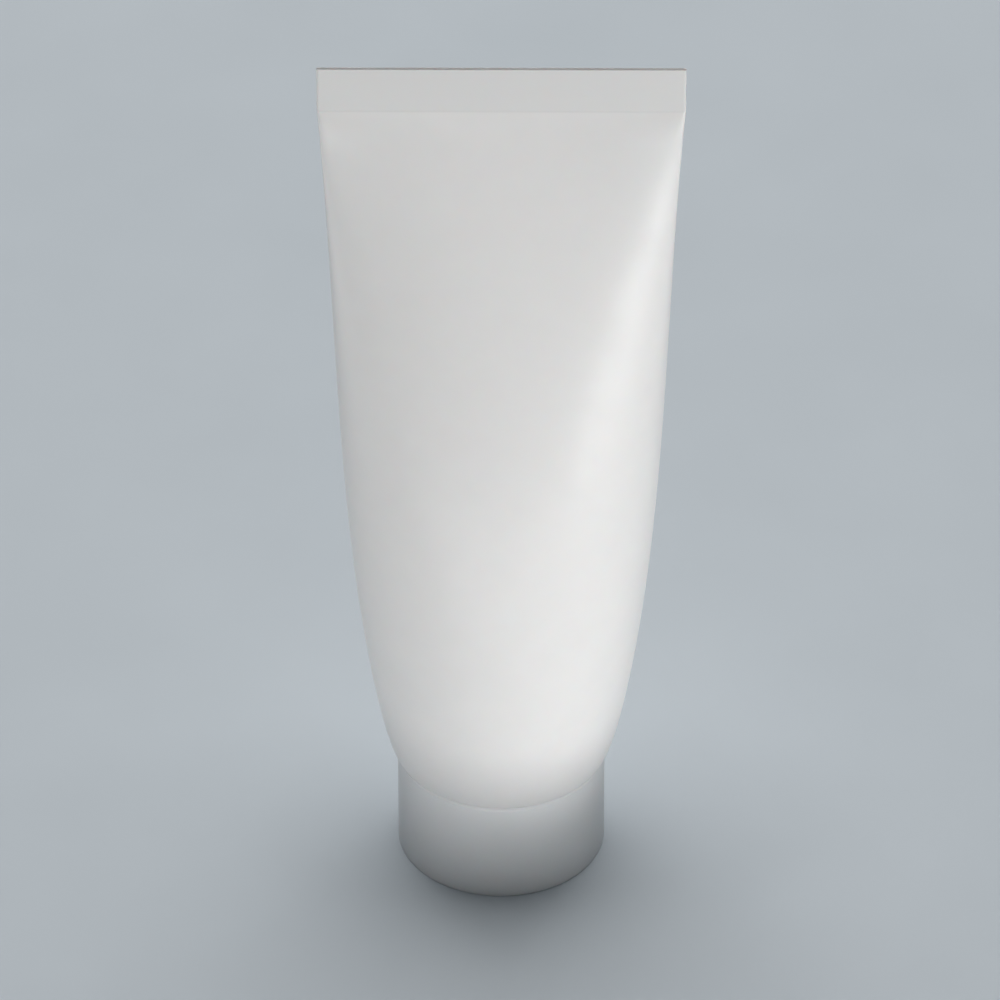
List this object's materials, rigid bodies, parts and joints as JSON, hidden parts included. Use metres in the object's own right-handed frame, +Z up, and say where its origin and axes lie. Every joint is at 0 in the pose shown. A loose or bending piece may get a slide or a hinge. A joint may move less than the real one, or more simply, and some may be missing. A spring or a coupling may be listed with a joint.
{
  "type": "cream tube",
  "caption": "Soft plastic cream tube with a flat welded end, standing on a broad round screw cap that it turns out of to open.",
  "frame": {"origin": "centre of the cap's foot, on the surface that the tube stands on", "axes": "+Z up along the tube towards the weld, X along the weld, -Y towards the viewer of the picture"},
  "size_m": [0.0598, 0.0458, 0.1595],
  "materials": {
    "tube_plastic": "satin white polyethylene",
    "cream": "soft, moist, off-white",
    "cap_plastic": "satin white polypropylene",
    "liner_foam": "matt foamed polyethylene"
  },
  "bodies": {
    "cap": {"screw_cap": "cap_plastic"},
    "liner": {"cap_liner": "liner_foam"},
    "tube": {"tube": "tube_plastic", "cream": "cream"}
  },
  "joints": [
    {"name": "tube_turn", "type": "hinge", "parent": "cap", "child": "liner", "pos_m": [0, 0, 0], "axis": [0, 0, 1], "range_deg": [0, 2070]},
    {"name": "tube_rise", "type": "slide", "parent": "liner", "child": "tube", "axis": [0, 0, 1], "range_m": [0, 0.01725]}
  ],
  "couplings": [
    {"joint": "tube_rise", "follows": "tube_turn", "m_per_rad": 0.00047746}
  ]
}
